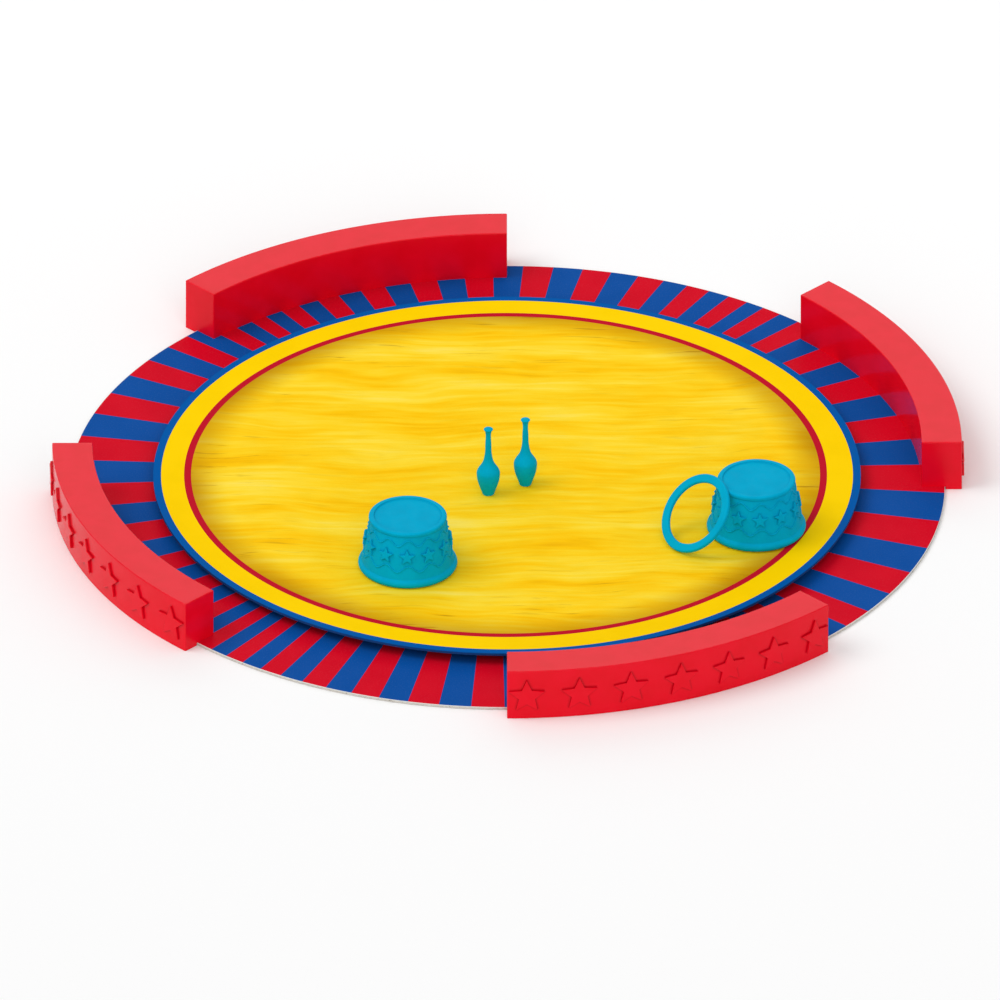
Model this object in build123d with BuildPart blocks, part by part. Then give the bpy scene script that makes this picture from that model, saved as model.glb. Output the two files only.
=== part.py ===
"""Toy circus ring with its juggling ring, clubs and two pedestals.

A striped base board lies on the table.  A printed stage turns on a stud at its middle.  Four curved
kerbs sit over the rim of the base board and slide round it.  The loose props stand on the stage.

Millimetres.  The origin is the centre of the base board's underside, +Z up, and +Y away from the
side that the front kerb stands on.
"""

import os
from math import asin, atan2, cos, degrees, hypot, pi, radians, sin

from build123d import *

os.makedirs("parts", exist_ok=True)

# ---- boards -------------------------------------------------------------------------------------
BASE_RADIUS = 150.0
BOARD_THICKNESS = 0.8  # grey board under each printed sheet
PRINT_THICKNESS = 0.2  # printed and varnished sheet
STAGE_MARGIN = 20.8  # from the stage's edge out to the kerbs
STAGE_RISE = 4.6  # from the top of the base to the top of the stage

# ---- turntable under the stage ------------------------------------------------------------------
STUD_STEM_RADIUS = 4.0
STUD_FLANGE_RADIUS = 12.0
STUD_FLANGE_THICKNESS = 0.8
STUD_PIN_RADIUS = 5.0
STUD_TOP_GAP = 0.2  # between the pin's end and the stage board
RUNNING_CLEARANCE = 0.1  # between the pin and the hub's bore, all round
WHEEL_INSET = 13.2  # from the stage's edge in to the wheel's rim
WHEEL_RIM_WIDTH = 5.0
WHEEL_HUB_RADIUS = 14.0
WHEEL_FLANGE_GAP = 0.1  # the rim carries the stage, so the hub clears the stud's flange
SPOKE_COUNT = 6
SPOKE_WIDTH = 5.0
SPOKE_OVERLAP = 1.0  # how far a spoke runs into the hub and the rim

# ---- kerbs --------------------------------------------------------------------------------------
KERB_OVERLAP = 8.0  # how far a kerb stands in over the base board
KERB_WIDTH = 13.8
KERB_HEIGHT = 18.5
KERB_ARC = 45.0
KERB_WALL = 1.6
KERB_EDGE_RADIUS = 0.35
KERB_STARTS = {"right": 0, "back": 90, "left": 180, "front": 270}
RIM_CLEARANCE = 0.3  # between the base board's rim and the kerb's step
STEP_RIB_WIDTH = 1.7
PLATE_THICKNESS = 1.6
PLATE_CLEARANCE = 0.1
PEG_RADIUS = 2.0
PEG_HEIGHT = 5.0
PEG_CLEARANCE = 0.02
PEG_ANGLES = (6.0, 22.5, 39.0)
BOSS_WALL = 1.5
RIB_THICKNESS = 1.2
RIB_CLEARANCE = 3.4  # between the stiffening ribs and the plate below
RIB_ANGLES = (14.25, 30.75)
KERB_STAR_COUNT = 7
KERB_STAR_SPAN = 40.0  # degrees from the first star to the last
KERB_STAR_RADIUS = 6.4
KERB_STAR_WAIST = 0.46  # inner over outer radius
KERB_STAR_DROP = 0.5  # middle of the stars below half the kerb's height
KERB_STAR_RISE = 0.8
STAR_ROOT = 0.8  # how far a star's root reaches into its wall

# ---- pedestals ----------------------------------------------------------------------------------
PEDESTAL_HEIGHT = 20.0
FOOT_RADIUS = 17.0
FOOT_HEIGHT = 3.0
CONE_BOTTOM_RADIUS = 15.9
CONE_TOP_RADIUS = 13.05
RIM_RADIUS = 13.4
RIM_HEIGHT = 1.5
RIM_ROUND = 0.7
RECESS_RADIUS = 11.6
RECESS_DEPTH = 0.5
PEDESTAL_WALL = 1.2
PEDESTAL_STAR_COUNT = 12
PEDESTAL_STAR_RADIUS = 3.0
PEDESTAL_STAR_WAIST = 0.5
PEDESTAL_STAR_HEIGHT = 11.3
PEDESTAL_STAR_RISE = 0.5
PEDESTAL_PLACES = {  # in from the stage's edge, bearing, and bearing of the first star
    "left": (51.2, -119.05, -91.0),
    "right": (28.4, -23.03, -85.0),
}

# ---- clubs --------------------------------------------------------------------------------------
CLUB_HEIGHT = 25.9
CLUB_FOOT_RADIUS = 2.1
CLUB_BELLY_RADIUS = 4.0
CLUB_BELLY_HEIGHT = 8.1
CLUB_SHOULDER = [(3.55, 1.6), (1.95, 4.3), (1.28, 7.1)]  # radius, and height above the belly
CLUB_NECK_RADIUS = 1.06
CLUB_NECK_RISE = 10.9  # from the belly to the neck's narrowest ring
CLUB_KNOB_RADIUS = 1.62
CLUB_KNOB_DROP = 0.55  # the knob's widest ring below the top
CLUB_STAR_RADIUS = 1.15
CLUB_STAR_WAIST = 0.5
CLUB_STAR_HEIGHT = 6.0
CLUB_STAR_TURN = -54.0
CLUB_STAR_RISE = 0.3
CLUB_PLACES = {"left": (-6.4, -12.5), "right": (6.3, -6.1)}

# ---- juggling ring ------------------------------------------------------------------------------
RING_RADIUS = 14.4
RING_BAND = 3.1
RING_THICKNESS = 1.6
RING_EDGE_RADIUS = 0.6
RING_TOUCH_INSET = 2.1  # from the ring's highest point down its slope to where it leans
RING_BEARING = 215.6  # from the right pedestal to where the ring leans on it
RING_SIDE_STEP = -4.7  # the ring's centre to the side of that bearing
RING_GAP = 0.1  # between the ring and what it leans on

# ---- places that follow from the sizes ----------------------------------------------------------
BASE_TOP = BOARD_THICKNESS + PRINT_THICKNESS
STAGE_TOP = BASE_TOP + STAGE_RISE
STAGE_BOARD_TOP = STAGE_TOP - PRINT_THICKNESS
STAGE_BOARD_BOTTOM = STAGE_BOARD_TOP - BOARD_THICKNESS
KERB_INNER_RADIUS = BASE_RADIUS - KERB_OVERLAP
KERB_OUTER_RADIUS = KERB_INNER_RADIUS + KERB_WIDTH
KERB_MIDDLE_RADIUS = KERB_INNER_RADIUS + KERB_WIDTH / 2
STEP_RADIUS = BASE_RADIUS + RIM_CLEARANCE
PLATE_TOP = BASE_TOP + PLATE_THICKNESS
CONE_BOTTOM = FOOT_HEIGHT
CONE_TOP = PEDESTAL_HEIGHT - RIM_HEIGHT
STAGE_RADIUS = KERB_INNER_RADIUS - STAGE_MARGIN
WHEEL_RIM_RADIUS = STAGE_RADIUS - WHEEL_INSET
CONE_LEAN = degrees(atan2(CONE_BOTTOM_RADIUS - CONE_TOP_RADIUS, CONE_TOP - CONE_BOTTOM))


def pedestal_middle(side):
    """Where that side's pedestal stands on the stage."""
    inset, bearing, _ = PEDESTAL_PLACES[side]
    reach = STAGE_RADIUS - inset
    return Vector(reach * cos(radians(bearing)), reach * sin(radians(bearing)), STAGE_TOP)


def star_points(radius, waist):
    """Corners of a five-pointed star with one point up; waist is inner over outer radius."""
    reaches = [radius, radius * waist] * 5
    return [(reach * sin(i * pi / 5), reach * cos(i * pi / 5)) for i, reach in enumerate(reaches)]


def wall_plane(radius, height, turn, lean=0.0):
    """Plane on a wall at that bearing: local x along the wall, y up it, z out of it."""
    bearing = Vector(cos(radians(turn)), sin(radians(turn)), 0)
    along = Vector(-bearing.Y, bearing.X, 0)
    out = bearing * cos(radians(lean)) + Vector(0, 0, sin(radians(lean)))
    return Plane(origin=bearing * radius + Vector(0, 0, height), x_dir=along, z_dir=out)


def write(piece, label):
    """Labels a finished piece and writes its STEP file."""
    piece.label = label
    export_step(piece, f"parts/{label}.step")


def disc(radius, bottom, thickness, hole_radius=0.0):
    """A flat round sheet, with a hole at its middle if one is asked for."""
    with BuildPart() as sheet:
        with BuildSketch(Plane.XY.offset(bottom)):
            Circle(radius)
            if hole_radius:
                Circle(hole_radius, mode=Mode.SUBTRACT)
        extrude(amount=thickness)
    return sheet.part


def pivot_stud():
    """Flanged stud: its stem fills the base's hole and its pin carries the turning stage."""
    flange_top = BASE_TOP + STUD_FLANGE_THICKNESS
    with BuildPart() as stud:
        with BuildSketch(Plane.XY):
            Circle(STUD_STEM_RADIUS)
        extrude(amount=BASE_TOP)
        with BuildSketch(Plane.XY.offset(BASE_TOP)):
            Circle(STUD_FLANGE_RADIUS)
        extrude(amount=STUD_FLANGE_THICKNESS)
        with BuildSketch(Plane.XY.offset(flange_top)):
            Circle(STUD_PIN_RADIUS)
        extrude(amount=STAGE_BOARD_BOTTOM - STUD_TOP_GAP - flange_top)
    return stud.part


def stage_wheel():
    """Spoked moulding glued under the stage board: it turns on the stud and glides on its rim."""
    hub_bottom = BASE_TOP + STUD_FLANGE_THICKNESS + WHEEL_FLANGE_GAP
    spoke_inner = WHEEL_HUB_RADIUS - SPOKE_OVERLAP
    spoke_outer = WHEEL_RIM_RADIUS - WHEEL_RIM_WIDTH + SPOKE_OVERLAP
    with BuildPart() as wheel:
        with BuildSketch(Plane.XY.offset(BASE_TOP)):
            Circle(WHEEL_RIM_RADIUS)
            Circle(WHEEL_RIM_RADIUS - WHEEL_RIM_WIDTH, mode=Mode.SUBTRACT)
        extrude(amount=STAGE_BOARD_BOTTOM - BASE_TOP)
        with BuildSketch(Plane.XY.offset(hub_bottom)):
            Circle(WHEEL_HUB_RADIUS)
            with PolarLocations((spoke_inner + spoke_outer) / 2, SPOKE_COUNT):
                Rectangle(spoke_outer - spoke_inner, SPOKE_WIDTH)
            Circle(STUD_PIN_RADIUS + RUNNING_CLEARANCE, mode=Mode.SUBTRACT)
        extrude(amount=STAGE_BOARD_BOTTOM - hub_bottom)
    return wheel.part


def sector(inner, outer, bottom, top, start, end):
    """Part of a ring between two bearings, as a closed block to add to or cut from a kerb."""
    with BuildPart(mode=Mode.PRIVATE) as block:
        with BuildSketch(Plane.XZ):
            with BuildLine():
                Polyline((inner, bottom), (outer, bottom), (outer, top), (inner, top), close=True)
            make_face()
        revolve(axis=Axis.Z, revolution_arc=end - start)
    return block.part.rotate(Axis.Z, start)


def peg_place(turn):
    """Middle of a peg on the kerb's centre line."""
    return (KERB_MIDDLE_RADIUS * cos(radians(turn)), KERB_MIDDLE_RADIUS * sin(radians(turn)))


def kerb_shell():
    """Hollow kerb from bearing 0 to the kerb's arc: walls, ends, top, raised stars, ribs and bosses."""
    end_wall = degrees(asin(KERB_WALL / KERB_MIDDLE_RADIUS))
    cavity_inner = KERB_INNER_RADIUS + KERB_WALL
    cavity_outer = KERB_OUTER_RADIUS - KERB_WALL
    cavity_top = KERB_HEIGHT - KERB_WALL
    rib_half = degrees(RIB_THICKNESS / 2 / KERB_MIDDLE_RADIUS)
    star_pitch = KERB_STAR_SPAN / (KERB_STAR_COUNT - 1)
    first_star = (KERB_ARC - KERB_STAR_SPAN) / 2
    star_height = KERB_HEIGHT / 2 - KERB_STAR_DROP
    with BuildPart() as shell:
        with BuildSketch(Plane.XZ):
            with BuildLine():
                Polyline(
                    (KERB_INNER_RADIUS, BASE_TOP),
                    (STEP_RADIUS, BASE_TOP),
                    (STEP_RADIUS, 0),
                    (KERB_OUTER_RADIUS, 0),
                    (KERB_OUTER_RADIUS, KERB_HEIGHT),
                    (KERB_INNER_RADIUS, KERB_HEIGHT),
                    close=True,
                )
            make_face()
        revolve(axis=Axis.Z, revolution_arc=KERB_ARC)
        top_edges = shell.faces().sort_by(Axis.Z)[-1].edges()
        end_edges = [
            edge
            for edge in shell.edges().filter_by(Axis.Z)
            if edge.length > KERB_HEIGHT / 2
        ]
        fillet(ShapeList([*top_edges, *end_edges]), KERB_EDGE_RADIUS)
        add(
            sector(cavity_inner, cavity_outer, 0, cavity_top, end_wall, KERB_ARC - end_wall),
            mode=Mode.SUBTRACT,
        )
        for turn in RIB_ANGLES:
            add(
                sector(
                    KERB_INNER_RADIUS + KERB_WALL / 2,
                    KERB_OUTER_RADIUS - KERB_WALL / 2,
                    PLATE_TOP + RIB_CLEARANCE,
                    KERB_HEIGHT - KERB_WALL / 2,
                    turn - rib_half,
                    turn + rib_half,
                )
            )
        with BuildSketch(Plane.XY.offset(PLATE_TOP)):
            with Locations(*[peg_place(turn) for turn in PEG_ANGLES]):
                Circle(PEG_RADIUS + PEG_CLEARANCE + BOSS_WALL)
        extrude(amount=KERB_HEIGHT - KERB_WALL / 2 - PLATE_TOP)
        with BuildSketch(Plane.XY.offset(PLATE_TOP)):
            with Locations(*[peg_place(turn) for turn in PEG_ANGLES]):
                Circle(PEG_RADIUS + PEG_CLEARANCE)
        extrude(amount=PEG_HEIGHT + PEG_CLEARANCE, mode=Mode.SUBTRACT)
        for number in range(KERB_STAR_COUNT):
            turn = first_star + number * star_pitch
            with BuildSketch(wall_plane(KERB_OUTER_RADIUS - STAR_ROOT, star_height, turn)):
                with BuildLine():
                    Polyline(*star_points(KERB_STAR_RADIUS, KERB_STAR_WAIST), close=True)
                make_face()
            extrude(amount=STAR_ROOT + KERB_STAR_RISE)
    return shell.part


def kerb_plate():
    """Underside plate of a kerb: a rib that steps down past the board's rim, and pegs for the shell."""
    end_gap = degrees(asin((KERB_WALL + 2 * PLATE_CLEARANCE) / KERB_MIDDLE_RADIUS))
    inner = KERB_INNER_RADIUS + KERB_WALL + PLATE_CLEARANCE
    outer = KERB_OUTER_RADIUS - KERB_WALL - PLATE_CLEARANCE
    with BuildPart() as plate:
        add(sector(inner, outer, BASE_TOP, PLATE_TOP, end_gap, KERB_ARC - end_gap))
        add(sector(STEP_RADIUS, STEP_RADIUS + STEP_RIB_WIDTH, 0, BASE_TOP, end_gap, KERB_ARC - end_gap))
        with BuildSketch(Plane.XY.offset(PLATE_TOP)):
            with Locations(*[peg_place(turn) for turn in PEG_ANGLES]):
                Circle(PEG_RADIUS)
        extrude(amount=PEG_HEIGHT)
    return plate.part


def pedestal():
    """Hollow round pedestal with a rolled foot, a cone with raised stars, and a shallow recess on top."""
    star_share = (PEDESTAL_STAR_HEIGHT - CONE_BOTTOM) / (CONE_TOP - CONE_BOTTOM)
    star_wall = CONE_BOTTOM_RADIUS + (CONE_TOP_RADIUS - CONE_BOTTOM_RADIUS) * star_share
    recess_floor = PEDESTAL_HEIGHT - RECESS_DEPTH
    inside_top = recess_floor - PEDESTAL_WALL
    foot_middle = FOOT_HEIGHT / 2
    with BuildPart() as tub:
        with BuildSketch(Plane.XZ):
            with BuildLine():
                foot = ThreePointArc(
                    (CONE_BOTTOM_RADIUS, 0), (FOOT_RADIUS, foot_middle), (CONE_BOTTOM_RADIUS, FOOT_HEIGHT)
                )
                cone = Line(foot @ 1, (CONE_TOP_RADIUS, CONE_TOP))
                step = Line(cone @ 1, (RIM_RADIUS, CONE_TOP))
                side = Line(step @ 1, (RIM_RADIUS, PEDESTAL_HEIGHT - RIM_ROUND))
                shoulder = RadiusArc(side @ 1, (RIM_RADIUS - RIM_ROUND, PEDESTAL_HEIGHT), -RIM_ROUND)
                Polyline(
                    shoulder @ 1,
                    (RECESS_RADIUS, PEDESTAL_HEIGHT),
                    (RECESS_RADIUS, recess_floor),
                    (0, recess_floor),
                    (0, inside_top),
                    (CONE_TOP_RADIUS - PEDESTAL_WALL, inside_top),
                    (CONE_BOTTOM_RADIUS - PEDESTAL_WALL, 0),
                    foot @ 0,
                )
            make_face()
        revolve(axis=Axis.Z)
        for number in range(PEDESTAL_STAR_COUNT):
            turn = number * 360 / PEDESTAL_STAR_COUNT
            wall = wall_plane(star_wall, PEDESTAL_STAR_HEIGHT, turn, CONE_LEAN)
            with BuildSketch(wall.offset(-STAR_ROOT)):
                with BuildLine():
                    Polyline(*star_points(PEDESTAL_STAR_RADIUS, PEDESTAL_STAR_WAIST), close=True)
                make_face()
            extrude(amount=STAR_ROOT + PEDESTAL_STAR_RISE)
    return tub.part


def club():
    """Solid juggling club standing on its foot, with a slim neck, a knob and one small raised star."""
    foot_round = CLUB_FOOT_RADIUS / 6
    star_share = CLUB_STAR_HEIGHT / CLUB_BELLY_HEIGHT
    star_wall = CLUB_FOOT_RADIUS + (CLUB_BELLY_RADIUS - CLUB_FOOT_RADIUS) * star_share
    star_lean = -degrees(atan2(CLUB_BELLY_RADIUS - CLUB_FOOT_RADIUS, CLUB_BELLY_HEIGHT))
    with BuildPart() as body:
        with BuildSketch(Plane.XZ):
            with BuildLine():
                foot = RadiusArc(
                    (CLUB_FOOT_RADIUS - foot_round, 0), (CLUB_FOOT_RADIUS, foot_round), -foot_round
                )
                belly = Spline(
                    foot @ 1,
                    (CLUB_BELLY_RADIUS, CLUB_BELLY_HEIGHT),
                    tangents=[(CLUB_BELLY_RADIUS - CLUB_FOOT_RADIUS, CLUB_BELLY_HEIGHT * 0.8), (0, 1)],
                )
                waist = Spline(
                    belly @ 1,
                    *[(radius, CLUB_BELLY_HEIGHT + rise) for radius, rise in CLUB_SHOULDER],
                    (CLUB_NECK_RADIUS, CLUB_BELLY_HEIGHT + CLUB_NECK_RISE),
                    tangents=[(0, 1), (0, 1)],
                )
                flare = Spline(
                    waist @ 1,
                    (CLUB_KNOB_RADIUS, CLUB_HEIGHT - CLUB_KNOB_DROP),
                    tangents=[(0, 1), (CLUB_KNOB_RADIUS - CLUB_NECK_RADIUS, CLUB_KNOB_DROP)],
                )
                knob = Bezier(flare @ 1, (CLUB_KNOB_RADIUS, CLUB_HEIGHT), (0, CLUB_HEIGHT))
                Polyline(knob @ 1, (0, 0), foot @ 0)
            make_face()
        revolve(axis=Axis.Z)
        with BuildSketch(wall_plane(star_wall - STAR_ROOT, CLUB_STAR_HEIGHT, CLUB_STAR_TURN, star_lean)):
            with BuildLine():
                Polyline(*star_points(CLUB_STAR_RADIUS, CLUB_STAR_WAIST), close=True)
            make_face()
        extrude(amount=STAR_ROOT + CLUB_STAR_RISE)
    return body.part


def ring_plane():
    """Where the ring leans: lower edge on the stage, back against the right pedestal's shoulder.

    The lean solves slope * sin(lean) = shoulder height + (round + gap) * cos(lean).
    """
    slope = 2 * RING_RADIUS - RING_TOUCH_INSET
    stand_in = RIM_ROUND + RING_GAP
    lean = asin((PEDESTAL_HEIGHT - RIM_ROUND) / hypot(slope, stand_in)) + atan2(stand_in, slope)
    away = Vector(cos(radians(RING_BEARING)), sin(radians(RING_BEARING)), 0)
    side = Vector(-away.Y, away.X, 0)
    rise = RING_RADIUS * sin(lean) + RING_THICKNESS / 2 * cos(lean)
    stand_off = RING_THICKNESS / 2 + RIM_ROUND + RING_GAP
    drop = PEDESTAL_HEIGHT - RIM_ROUND - rise
    reach = RIM_RADIUS - RIM_ROUND + (stand_off + cos(lean) * drop) / sin(lean)
    centre = pedestal_middle("right") + away * reach + side * RING_SIDE_STEP + Vector(0, 0, rise)
    return Plane(
        origin=centre,
        x_dir=side,
        z_dir=away * sin(lean) + Vector(0, 0, cos(lean)),
    )


def juggling_ring():
    """Flat ring with rounded edges, lying on the XY plane about the origin."""
    with BuildPart() as ring:
        with BuildSketch(Plane.XZ):
            with Locations((RING_RADIUS - RING_BAND / 2, 0)):
                RectangleRounded(RING_BAND, RING_THICKNESS, RING_EDGE_RADIUS)
        revolve(axis=Axis.Z)
    return ring.part


write(disc(BASE_RADIUS, 0, BOARD_THICKNESS, STUD_STEM_RADIUS), "base_board")
write(disc(BASE_RADIUS, BOARD_THICKNESS, PRINT_THICKNESS, STUD_STEM_RADIUS), "base_print")
write(pivot_stud(), "pivot_stud")
write(stage_wheel(), "stage_wheel")
write(disc(STAGE_RADIUS, STAGE_BOARD_BOTTOM, BOARD_THICKNESS), "stage_board")
write(disc(STAGE_RADIUS, STAGE_BOARD_TOP, PRINT_THICKNESS), "stage_print")

one_shell = kerb_shell()
one_plate = kerb_plate()
for side, start in KERB_STARTS.items():
    write(one_shell.rotate(Axis.Z, start), f"kerb_shell_{side}")
    write(one_plate.rotate(Axis.Z, start), f"kerb_plate_{side}")

one_pedestal = pedestal()
for side, (_, _, first_star) in PEDESTAL_PLACES.items():
    write(one_pedestal.moved(Location(pedestal_middle(side), (0, 0, first_star))), f"pedestal_{side}")

one_club = club()
for side, (x, y) in CLUB_PLACES.items():
    write(one_club.moved(Location((x, y, STAGE_TOP))), f"club_{side}")

write(juggling_ring().moved(ring_plane().location), "juggling_ring")
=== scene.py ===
"""Looks of the toy circus ring: boards, turntable, kerbs, pedestals, clubs and juggling ring.

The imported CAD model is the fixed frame.  Kerb shells and pedestals are modelled again here with
their soft edges, waves and stars; every other CAD node keeps its shape and gets its finish.
Sizes in the classes are millimetres, and meshes are brought to metres when they are finished.
"""

import logging
import math
from dataclasses import dataclass, field
from enum import Enum
from functools import cached_property, lru_cache
from typing import Any, Callable, Iterable, Optional, Sequence, Union

import bmesh
import bpy
from mathutils import Matrix, Vector


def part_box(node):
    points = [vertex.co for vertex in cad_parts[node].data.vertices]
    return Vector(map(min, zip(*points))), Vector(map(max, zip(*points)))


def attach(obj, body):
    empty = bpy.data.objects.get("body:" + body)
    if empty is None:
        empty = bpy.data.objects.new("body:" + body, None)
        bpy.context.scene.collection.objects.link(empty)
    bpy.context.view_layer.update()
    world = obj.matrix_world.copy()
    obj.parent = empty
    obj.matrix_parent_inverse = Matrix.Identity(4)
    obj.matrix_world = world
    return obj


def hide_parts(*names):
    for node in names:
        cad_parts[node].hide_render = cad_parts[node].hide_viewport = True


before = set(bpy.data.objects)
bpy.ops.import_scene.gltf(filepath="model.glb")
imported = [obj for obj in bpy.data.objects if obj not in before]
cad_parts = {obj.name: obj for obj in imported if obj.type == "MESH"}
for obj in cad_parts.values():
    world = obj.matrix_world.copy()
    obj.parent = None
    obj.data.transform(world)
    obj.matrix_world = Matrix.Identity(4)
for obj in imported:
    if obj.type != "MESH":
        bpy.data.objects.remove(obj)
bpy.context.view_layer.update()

LOG = logging.getLogger("circus_ring")
MM = 0.001
SAME_PLACE = 1e-3  # corners closer than this many millimetres are one
SHARP_ANGLE = 38.0  # degrees; edges that turn more are shaded sharp
MIDDLING = (0.3, 0.7)  # where most of a noise's values lie

Number = Union[int, float]
Colour = tuple[float, float, float, float]


def ink(red: int, green: int, blue: int) -> Colour:
    """Linear colour of a printed or moulded colour that is given on the 0 to 255 scale."""

    def linear(part: float) -> float:
        """One of its three parts, by the sRGB curve."""
        return part / 12.92 if part <= 0.04045 else ((part + 0.055) / 1.055) ** 2.4

    return (linear(red / 255), linear(green / 255), linear(blue / 255), 1.0)


BLACK = ink(0, 0, 0)


@lru_cache
def node_radius(node: str) -> float:
    """Radius in millimetres of a round CAD node that is centred on the ring's middle."""
    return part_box(node)[1].x / MM


class Side(Enum):
    """Where a kerb stands, by the bearing at which it starts."""

    RIGHT = 0
    BACK = 90
    LEFT = 180
    FRONT = 270

    @property
    def label(self) -> str:
        """The side's name as the CAD nodes and bodies write it."""
        return self.name.lower()


# ---- shader graphs -------------------------------------------------------------------------------


class Value:
    """A socket of a shader graph; sums and products of values add the Math nodes they need."""

    def __init__(self, graph: "Graph", socket: bpy.types.NodeSocket) -> None:
        """Wraps a socket.

        Args:
            graph: the graph that the socket is in.
            socket: the output socket.
        """
        self.graph = graph
        self.socket = socket

    def maths(self, operation: str, *values: Any, clamp: bool = False) -> "Value":
        """Adds one Math node.

        Args:
            operation: the node's operation.
            values: what feeds its sockets, in order.
            clamp: whether the result is held between 0 and 1.

        Returns:
            The node's result.
        """
        settings = {"operation": operation, "use_clamp": clamp}
        return self.graph.node("ShaderNodeMath", settings, dict(enumerate(values)))

    def __add__(self, other: Any) -> "Value":
        """This value plus another."""
        return self.maths("ADD", self, other)

    def __sub__(self, other: Any) -> "Value":
        """This value less another."""
        return self.maths("SUBTRACT", self, other)

    def __mul__(self, other: Any) -> "Value":
        """This value times another."""
        return self.maths("MULTIPLY", self, other)

    def __truediv__(self, other: Any) -> "Value":
        """This value over another."""
        return self.maths("DIVIDE", self, other)

    def __rsub__(self, other: Any) -> "Value":
        """Another value less this one."""
        return self.maths("SUBTRACT", other, self)

    def __rtruediv__(self, other: Any) -> "Value":
        """Another value over this one."""
        return self.maths("DIVIDE", other, self)

    __radd__ = __add__
    __rmul__ = __mul__

    def above(self, edge: Any) -> "Value":
        """1 where this value is over the edge, and 0 elsewhere."""
        return self.maths("GREATER_THAN", self, edge)

    def root(self) -> "Value":
        """Square root."""
        return self.maths("SQRT", self)

    def size(self) -> "Value":
        """This value without its sign."""
        return self.maths("ABSOLUTE", self)

    def fraction(self) -> "Value":
        """What is over the whole number below."""
        return self.maths("FRACT", self)

    def ramp(
        self, low: Number, high: Number, to_low: Number = 0.0, to_high: Number = 1.0
    ) -> "Value":
        """Brings a range of this value softly to another range.

        Args:
            low: this value where the result starts to change.
            high: this value where the result stops changing.
            to_low: the result at low.
            to_high: the result at high.

        Returns:
            The result, held between its two ends.
        """
        return self.graph.node(
            "ShaderNodeMapRange",
            {"interpolation_type": "SMOOTHSTEP"},
            {0: self, 1: low, 2: high, 3: to_low, 4: to_high},
        )


class Graph:
    """Shader graph of one material or world."""

    def __init__(self, owner: Union[bpy.types.Material, bpy.types.World]) -> None:
        """Empties the owner's graph."""
        owner.use_nodes = True
        self.owner = owner
        self.tree = owner.node_tree
        self.tree.nodes.clear()

    def node(
        self,
        kind: str,
        settings: Optional[dict[str, Any]] = None,
        inputs: Optional[dict[Any, Any]] = None,
        output: Union[int, str] = 0,
    ) -> Value:
        """Adds any node.

        Args:
            kind: the node's type.
            settings: its own settings, made first; "stops" gives a ramp its (place, colour) stops.
            inputs: values, colours or links by socket name or number.
            output: the socket that is used further on.

        Returns:
            The chosen output.
        """
        made = self.tree.nodes.new(kind)
        for name, value in (settings or {}).items():
            if name == "stops":
                stops = made.color_ramp.elements
                while len(stops) < len(value):
                    stops.new(1.0)
                for stop, (place, colour) in zip(stops, value):
                    stop.position, stop.color = place, colour
            else:
                setattr(made, name, value)
        for key, value in (inputs or {}).items():
            if isinstance(value, Value):
                self.tree.links.new(value.socket, made.inputs[key])
            else:
                made.inputs[key].default_value = value
        return Value(self, made.outputs[output])

    def place(self) -> tuple[Value, Value, Value]:
        """Where a point is on the piece at rest, in millimetres, as x, y and z."""
        where = self.node("ShaderNodeTexCoord", output="Object")
        split = "ShaderNodeSeparateXYZ"
        parts = [self.node(split, inputs={0: where}, output=axis) for axis in range(3)]
        return tuple(part * (1 / MM) for part in parts)

    def noise(self, place: Sequence[Any], detail: Number = 3.0, roughness: Number = 0.5) -> Value:
        """Cloudy noise.

        Args:
            place: x, y and z of the noise's own space, where one unit is one cloud.
            detail: how many finer layers it has.
            roughness: how strong they are.

        Returns:
            A value about 0.5.
        """
        where = self.node("ShaderNodeCombineXYZ", inputs=dict(enumerate(place)))
        inputs = {"Vector": where, "Scale": 1.0, "Detail": detail, "Roughness": roughness}
        return self.node("ShaderNodeTexNoise", inputs=inputs)

    def blend(self, share: Any, first: Any, second: Any) -> Value:
        """One colour laid over another.

        Args:
            share: how much of the second shows, from 0 to 1.
            first: the colour below.
            second: the colour above.

        Returns:
            The colour.
        """
        settings = {"data_type": "RGBA", "blend_type": "MIX"}
        return self.node("ShaderNodeMix", settings, {0: share, 6: first, 7: second}, output=2)

    def relief(self, height: Value, depth: Number) -> Value:
        """Surface normal of a fine relief.

        Args:
            height: the relief's height, from 0 to 1.
            depth: how deep the whole of it is, in millimetres.

        Returns:
            The normal.
        """
        return self.node(
            "ShaderNodeBump", inputs={"Strength": 1.0, "Distance": depth * MM, "Height": height}
        )

    def finish(
        self, colour: Value, roughness: Any, normal: Value, **fixed: Number
    ) -> bpy.types.Material:
        """Ends the graph in one Principled shader.

        Args:
            colour: the base colour.
            roughness: a number or a value.
            normal: the surface normal.
            fixed: numbers for the shader's other sockets, with _ for a space.

        Returns:
            The material.
        """
        inputs: dict[str, Any] = {"Base Color": colour, "Roughness": roughness, "Normal": normal}
        inputs.update({name.replace("_", " "): value for name, value in fixed.items()})
        shader = self.node("ShaderNodeBsdfPrincipled", inputs=inputs)
        self.end(shader)
        return self.owner

    def end(self, shader: Value) -> None:
        """Joins a shader to the graph's output."""
        kind = "World" if isinstance(self.owner, bpy.types.World) else "Material"
        output = self.tree.nodes.new(f"ShaderNodeOutput{kind}")
        self.tree.links.new(shader.socket, output.inputs["Surface"])


# ---- finishes ------------------------------------------------------------------------------------


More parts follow.
